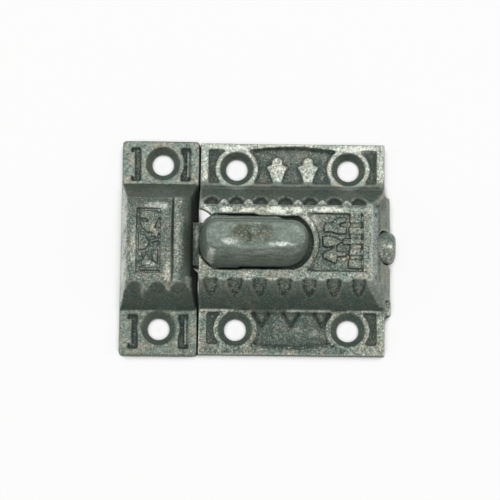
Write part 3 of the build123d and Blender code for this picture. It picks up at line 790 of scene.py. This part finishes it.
def paint_keeper_slopes(keeper):
    """Dark film on the slopes. Returns the bright rims of the three arches that it ends in below, which also
    take painted highlights.
    """
    x, y, z, slope = keeper.x, keeper.y, keeper.z, keeper.slope
    keeper.paint(slope * keeper.upper, wear=0.1)
    # Teeth of rubbed iron hang down between three dark arches
    arches = ARCH_HIGH * np.abs(np.sin(math.pi * (x - ARCH_START) / ARCH_WIDE))
    keeper.paint(slope * keeper.lower, wear=0.08 + 0.45 * stretch(z, 7.2 + arches, 8.2 + arches))
    keeper.paint(slope, calm=0.6)
    # The arches' rims rubbed bright; they also take painted highlights
    rims = np.clip(0.7 + 0.9 * lumps(keeper.points, 0.9 * MM, 43), 0, 1)
    rims = rims * slope * stretch(-y, 8.2, 8.8) * at_level(z, 8.5 + arches, 0.6)
    keeper.paint(rims, wear=0.8)
    return rims


def paint_keeper_plates(keeper):
    """Rubs the ears, and leaves film in their fields and screw sinks."""
    z = keeper.z
    keeper.paint(keeper.tops * keeper.upper, wear=0.67)
    keeper.paint(keeper.tops * keeper.lower, wear=0.52)
    keeper.paint(keeper.tops, calm=0.35)
    keeper.paint(keeper.up * stretch(keeper.plate - z, 0.3, 0.5) * (z < 4), wear=0.3)
    sink = (1 - stretch(keeper.from_screws(KEEPER_SCREWS), *SINK_RIM)) * (z > 0.1)
    keeper.paint(sink, wear=0.1, calm=0.8)


def paint_keeper_front(keeper):
    """Rubs the front and its bead, and leaves the rounded lip dark with film and painted shade. Returns
    where the panel and the lip are.
    """
    x, y, z, front = keeper.x, keeper.y, keeper.z, keeper.front
    faces = keeper.up * at_level(z, front, 0.35)
    keeper.paint(faces, wear=0.36)
    # The film of the upper slope ends in a ragged edge on the front
    reach = BITE_DEEP * np.abs(np.sin(math.pi * (x - BITE_START) / BITE_WIDE))
    reach = reach + 0.3 * lumps(keeper.points, 1.2 * MM, 47)
    keeper.paint(faces * stretch(y, 8.95 - reach, 9.25 - reach), wear=0.12)
    keeper.paint(plateau(x, *KEEPER_BEAD) * (z > 9.8), wear=0.4)
    # The rounded lip: dark film with painted shade where it turns away, and olive patina
    lip = stretch(x, -26.6, -25.2) * (z > 2.8)
    keeper.paint(lip, wear=0.05, calm=0.7)
    keeper.paint(lip * (1 - stretch(x, -25.0, -23.6)), olive=0.25)
    panel = plateau(x, *KEEPER_FIELD) * (1 - stretch(np.abs(y - 0.05), 7.7, 8.0))
    panel = panel * (z > 9.5)
    keeper.paint(panel, wear=0.28 + 0.12 * stretch(z, front - 0.4, front - 0.2))
    return panel, lip


def paint_keeper_edges(keeper, rims, panel, lip):
    """Paints the left end pale with highlights and rubs the arrises bright with painted highlights; darkens
    corners with grime and painted shade, and the wall beside the seam with painted shade.
    """
    x, z, nx = keeper.x, keeper.z, keeper.nx
    # Left end: a pale band with painted highlights on it
    left = stretch(-nx, 0.5, 0.8) * (1 - stretch(x, -39.6, -39.0)) * stretch(z, 2.6, 3.2)
    keeper.paint(left, wear=0.8, calm=0.1, bluish=0.45)
    # Wall beside the seam, painted in shade: the gap lets no light in
    keeper.paint(stretch(nx, 0.5, 0.8) * stretch(x, -24.4, -24.0), wear=0.02, dirt=0.8)
    edge = keeper.arris * keeper.outside * (1 - lip)
    keeper.paint(0.55 * edge, wear=0.8)
    # Painted highlights: on arrises, at the glints, on the left end and on the arches' rims
    grains_and_highlight = np.max([0.5 * edge, keeper.glints(KEEPER_GLINTS), 0.3 * left, 0.5 * rims], axis=0)
    keeper.masks["grains_and_highlight"] = grains_and_highlight * keeper.outside * (z > 2.6)
    keeper.paint(0.7 * keeper.masks["grains_and_highlight"], wear=0.95)
    # Creases darkened: grime and painted shade
    keeper.paint(keeper.crease, dirt=0.75)
    # Steep sides in the panel darkened: painted shade and grime
    keeper.paint(panel * (1 - stretch(keeper.nz, 0.75, 0.95)), dirt=0.6)
    keeper.paint(1 - keeper.outside, wear=0.05)


class CATCH_OT_keeper(bpy.types.Operator):
    """Dresses the keeper as a worn sand casting"""

    bl_idname = "catch.keeper"
    bl_label = "Keeper"

    def execute(self, context):
        keeper = Casting("keeper", "dressed_keeper", sizes().keeper_mesh, 2)
        keeper.refine(*KEEPER_PANEL)
        keeper.stray()
        keeper.measure()
        rims = paint_keeper_slopes(keeper)
        paint_keeper_plates(keeper)
        panel, lip = paint_keeper_front(keeper)
        paint_keeper_edges(keeper, rims, panel, lip)
        keeper.roughen(0.3 + 0.7 * keeper.outside * (1 - 0.7 * keeper.masks["calm"]))
        keeper.finish("keeper", "latch", cast_iron("oiled_keeper_iron", 7))
        return {"FINISHED"}


def lean_crown(bolt, foot):
    """Leans the knob in towards its top edge, and a little at the foot of its lower side."""
    y, z = bolt.points[:, 1] / MM, bolt.points[:, 2] / MM
    far = 0.09 * stretch(z, foot + 0.3, foot + 2.5)
    near = 0.05 * plateau(z, foot - 0.3, foot + 0.1, foot + 1.5, foot + 6.0)
    bolt.points[:, 1] *= 1 - np.where(y > 0, far, near)
    write_points(bolt.mesh, bolt.points)


def paint_knob(bolt, foot, knob):
    """Rubs the knob's crown. Its lower side gets painted shade in a band under the crown's edge and at its
    foot, and the side facing up a painted highlight. Returns where the crown is.
    """
    z, ny = bolt.z, bolt.ny
    bolt.paint(knob, wear=0.5)
    side = knob * stretch(-ny, 0.45, 0.8)
    bolt.paint(side, wear=0.62)
    # A band of painted shade under the crown's edge
    bolt.paint(side * at_level(z, foot + 6.0, 0.9), wear=0.4)
    smears = lumps(bolt.points * (0.35, 1, 1), 0.9 * MM, 37)
    bolt.paint(side * stretch(smears, 0.05, 0.45), olive=0.45)
    bolt.paint(side * stretch(-smears, 0.05, 0.45), wear=0.74)
    # Painted shade at the foot, where the knob meets the slot
    bolt.paint(side * (1 - stretch(z, foot, foot + 0.9)), wear=0.15)
    # A painted highlight on the side that faces up
    bolt.paint(knob * stretch(ny, 0.4, 0.8) * stretch(z, foot + 2, foot + 4), wear=0.85)
    crown = knob * stretch(bolt.nz, 0.5, 0.95)
    bolt.paint(crown, wear=0.74)
    return crown


def paint_hollow(bolt, crown):
    """Leaves ragged olive patina in the hollow for the thumb. Returns where the hollow is."""
    x, y, across, along = THUMB_HOLLOW
    hollow = 1 - stretch(np.hypot((bolt.x - x) / across, (bolt.y - y) / along), 0.3, 1.1)
    hollow = hollow * crown
    ragged = 0.6 * lumps(bolt.points, 2.4 * MM, 31) + 0.5 * lumps(bolt.points, 0.9 * MM, 33)
    brown = np.maximum(hollow * (1.0 + 1.3 * ragged), bolt.glints(THUMB_STAINS) * crown)
    bolt.paint(np.clip(brown, 0, 1), olive=0.85)
    bolt.paint(hollow * stretch(ragged, -0.1, 0.5), dirt=0.45)
    # Its deepest point is rubbed through
    bolt.paint(0.8 * bolt.spot(-9.3, 1.0, 1.2, 0.9) * crown, wear=0.95, olive=0.0)
    return hollow


def paint_bolt_highlights(bolt, foot, knob, nose, tail, low_tail):
    """Paints highlights and glints on the nose, the tail and the knob, over rubbed iron."""
    grains_and_highlight = np.maximum(0.9 * nose * bolt.arris, 0.3 * low_tail)
    grains_and_highlight = np.maximum(grains_and_highlight, 0.8 * tail * bolt.spot(23.2, -0.4, 0.9, 0.7))
    grains_and_highlight = np.maximum(grains_and_highlight, 0.5 * nose * bolt.spot(-22.8, 1.6, 0.6, 3.4))
    # Painted bluish highlights on the knob, on rubbed iron
    for *place, amount in KNOB_GLINTS:
        rubbed_and_painted_light = amount * bolt.spot(*place) * knob
        bolt.paint(rubbed_and_painted_light, calm=0.1, bluish=0.6, wear=1.0)
        grains_and_highlight = np.maximum(grains_and_highlight, 0.75 * rubbed_and_painted_light)
    # A painted highlight along the crown's lower edge
    arris = knob * bolt.band(-19.0, 3.0, -3.55, 0.35) * (bolt.z > foot + 6)
    bolt.paint(0.7 * arris, wear=0.95)
    # A painted bluish highlight streak on the knob's lower side
    streak = bolt.spot(-5.5, -4.1, 3.4, 0.45) * knob
    bolt.paint(streak, bluish=0.5)
    bolt.paint(0.8 * streak, wear=0.95)
    bolt.masks["grains_and_highlight"] = grains_and_highlight


class CATCH_OT_slide_bolt(bpy.types.Operator):
    """Dresses the bolt: a rough casting whose knob and tail hands have rubbed smooth"""

    bl_idname = "catch.slide_bolt"
    bl_label = "Slide bolt"

    def execute(self, context):
        bolt = Casting("slide_bolt", "dressed_bolt", sizes().bolt_mesh, 3)
        foot = sizes().knob_foot / MM
        bolt.ease(stretch(bolt.points[:, 2] / MM, foot, foot + 1.5), 30)
        lean_crown(bolt, foot)
        bolt.outside = open_above(bolt.mesh, bolt.points, bolt.normals)
        bolt.measure()
        knob = stretch(bolt.z, foot - 0.3, foot)
        nose = 1 - stretch(bolt.x, -21.5, -20.5)
        tail = stretch(bolt.x, 19, 20) * stretch(bolt.z, 3, 5)
        above_seam = stretch(bolt.y, 0.2, 0.8)
        low_tail = tail * (1 - above_seam)
        bolt.paint(nose, wear=0.2)
        bolt.paint(tail, wear=0.5)
        bolt.paint(tail * above_seam, wear=0.62)
        crown = paint_knob(bolt, foot, knob)
        hollow = paint_hollow(bolt, crown)
        bolt.paint(np.maximum(knob, 0.5 * tail), thumbed=1)
        bolt.paint(np.maximum(knob, 0.7 * tail * above_seam), calm=0.7)
        bolt.paint(hollow, calm=0.4)
        # The tail: bluish above its seam, olive-brown below
        bolt.paint(tail * above_seam, bluish=0.3)
        stains = stretch(lumps(bolt.points, 1.1 * MM, 35), -0.2, 0.4)
        bolt.paint(0.5 * low_tail * stains, olive=0.6)
        bolt.paint(tail * bolt.band(20.0, 24.5, 0.35, 0.16), dirt=0.5)
        paint_bolt_highlights(bolt, foot, knob, nose, tail, low_tail)
        # Creases darkened: grime and painted shade
        bolt.paint(bolt.crease * (1 - knob), dirt=0.7)
        bolt.masks["behind"] = 1 - np.maximum(bolt.outside, knob)
        bolt.roughen(0.3 + 0.4 * nose * bolt.outside + 0.3 * tail * (1 - bolt.masks["calm"]) - 0.2 * knob)
        bolt.finish("slide_bolt", "bolt", cast_iron("thumbed_cast_iron", 13))
        return {"FINISHED"}


class CATCH_OT_spring(bpy.types.Operator):
    """Winds the spring between the bolt and the strap's tab"""

    bl_idname = "catch.spring"
    bl_label = "Spring"

    def execute(self, context):
        size = sizes()
        steps = 20
        radius = (size.coil - size.wire) / 2
        height = (SPRING_LOW.z + SPRING_HIGH.z) / 2
        first = SPRING_LOW.x + size.wire / 2
        run = SPRING_HIGH.x - SPRING_LOW.x - size.wire
        closed = 1.15 * size.wire
        open_pitch = (run - 2 * closed) / (size.turns - 2)
        line = bpy.data.curves.new("coil_line", "CURVE")
        line.dimensions = "3D"
        line.bevel_depth = size.wire / 2
        line.bevel_resolution = 3
        line.use_fill_caps = True
        wound = line.splines.new("POLY")
        wound.points.add(steps * size.turns)
        along = first
        for i, point in enumerate(wound.points):
            turn = i / steps
            angle = 2 * math.pi * turn
            point.co = (along, radius * math.cos(angle), height + radius * math.sin(angle), 1)
            on_end = min(turn, size.turns - turn) < 1
            along += (closed if on_end else open_pitch) / steps
        maker = bpy.data.objects.new("coil_line", line)
        bpy.context.scene.collection.objects.link(maker)
        bpy.context.view_layer.update()
        ready = maker.evaluated_get(bpy.context.evaluated_depsgraph_get())
        mesh = bpy.data.meshes.new_from_object(ready)
        bpy.data.objects.remove(maker)
        mesh.polygons.foreach_set("use_smooth", [True] * len(mesh.polygons))
        mesh.materials.clear()
        mesh.materials.append(drawn_wire())
        spring = bpy.data.objects.new("wound_spring", mesh)
        bpy.context.scene.collection.objects.link(spring)
        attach(spring, "latch")
        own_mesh(spring)
        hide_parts("bolt_spring")
        return {"FINISHED"}


class CATCH_OT_strap(bpy.types.Operator):
    """Gives the strap across the back its rolled steel"""

    bl_idname = "catch.strap"
    bl_label = "Back strap"

    def execute(self, context):
        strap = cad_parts["back_strap"]
        strap.data.materials.clear()
        strap.data.materials.append(rolled_steel())
        return {"FINISHED"}


class CATCH_OT_studio(bpy.types.Operator):
    """Lays the catch on white card under soft lamps, and sets the camera"""

    bl_idname = "catch.studio"
    bl_label = "Studio"

    def execute(self, context):
        scene = bpy.context.scene
        card = bmesh.new()
        bmesh.ops.create_grid(card, x_segments=1, y_segments=1, size=CARD_HALF)
        sheet = bpy.data.meshes.new("card")
        card.to_mesh(sheet)
        card.free()
        floor = bpy.data.objects.new("card", sheet)
        floor.location.z = CAD_BOX[0][2] - 0.02 * MM
        floor.data.materials.append(white_card())
        scene.collection.objects.link(floor)
        world = bpy.data.worlds.new("studio")
        scene.world = world
        world.use_nodes = True
        world.node_tree.nodes.clear()
        sky = add(world.node_tree, "ShaderNodeBackground", {"Color": (1, 1, 1), "Strength": SKY})
        add(world.node_tree, "ShaderNodeOutputWorld", {"Surface": sky})
        target = Vector(LAMP_AIM) * MM
        for name, place, width, power in LAMPS:
            light = bpy.data.lights.new(name, "AREA")
            light.shape = "SQUARE"
            light.size = width
            light.energy = power
            lamp = bpy.data.objects.new(name, light)
            lamp.location = place
            lamp.rotation_euler = (target - Vector(place)).to_track_quat("-Z", "Y").to_euler()
            scene.collection.objects.link(lamp)
        lens = bpy.data.cameras.new("camera")
        lens.lens = LENS
        lens.sensor_width = SENSOR
        lens.clip_start = 0.01
        camera = bpy.data.objects.new("camera", lens)
        tilt = Matrix.Rotation(math.radians(CAMERA_TILT), 4, "X")
        turn = Matrix.Rotation(math.radians(CAMERA_TURN), 4, "Z")
        camera.matrix_world = Matrix.Translation(Vector(CAMERA_PLACE) * MM) @ tilt @ turn
        scene.collection.objects.link(camera)
        scene.camera = camera
        scene.view_settings.view_transform = "Standard"
        return {"FINISHED"}


class CATCH_PT_panel(bpy.types.Panel):
    """Lists the catch's pieces, sizes and finishes"""

    bl_idname = "CATCH_PT_panel"
    bl_label = "Cupboard catch"
    bl_space_type = "VIEW_3D"
    bl_region_type = "UI"
    bl_category = "Catch"

    def draw(self, context):
        """Draws a button for each operator, then the sizes and finishes."""
        for step in STEPS:
            self.layout.operator(step)
        for group in (context.scene.catch_sizes, context.scene.catch_finishes):
            column = self.layout.column()
            for name in group.__annotations__:
                column.prop(group, name)


STEPS = (
    "catch.latch_case",
    "catch.keeper",
    "catch.slide_bolt",
    "catch.spring",
    "catch.strap",
    "catch.studio",
)
CLASSES = (
    CatchSizes,
    CatchFinishes,
    CATCH_OT_latch_case,
    CATCH_OT_keeper,
    CATCH_OT_slide_bolt,
    CATCH_OT_spring,
    CATCH_OT_strap,
    CATCH_OT_studio,
    CATCH_PT_panel,
)


def register():
    """Registers the classes, and gives the scene its sizes and finishes."""
    for kind in CLASSES:
        bpy.utils.register_class(kind)
    bpy.types.Scene.catch_sizes = bpy.props.PointerProperty(type=CatchSizes)
    bpy.types.Scene.catch_finishes = bpy.props.PointerProperty(type=CatchFinishes)


def unregister():
    """Undoes register."""
    del bpy.types.Scene.catch_finishes
    del bpy.types.Scene.catch_sizes
    for kind in reversed(CLASSES):
        bpy.utils.unregister_class(kind)


def main():
    """Dresses the catch and lays it in its studio."""
    register()
    bpy.ops.catch.latch_case()
    bpy.ops.catch.keeper()
    bpy.ops.catch.slide_bolt()
    bpy.ops.catch.spring()
    bpy.ops.catch.strap()
    bpy.ops.catch.studio()


if __name__ == "__main__":
    main()
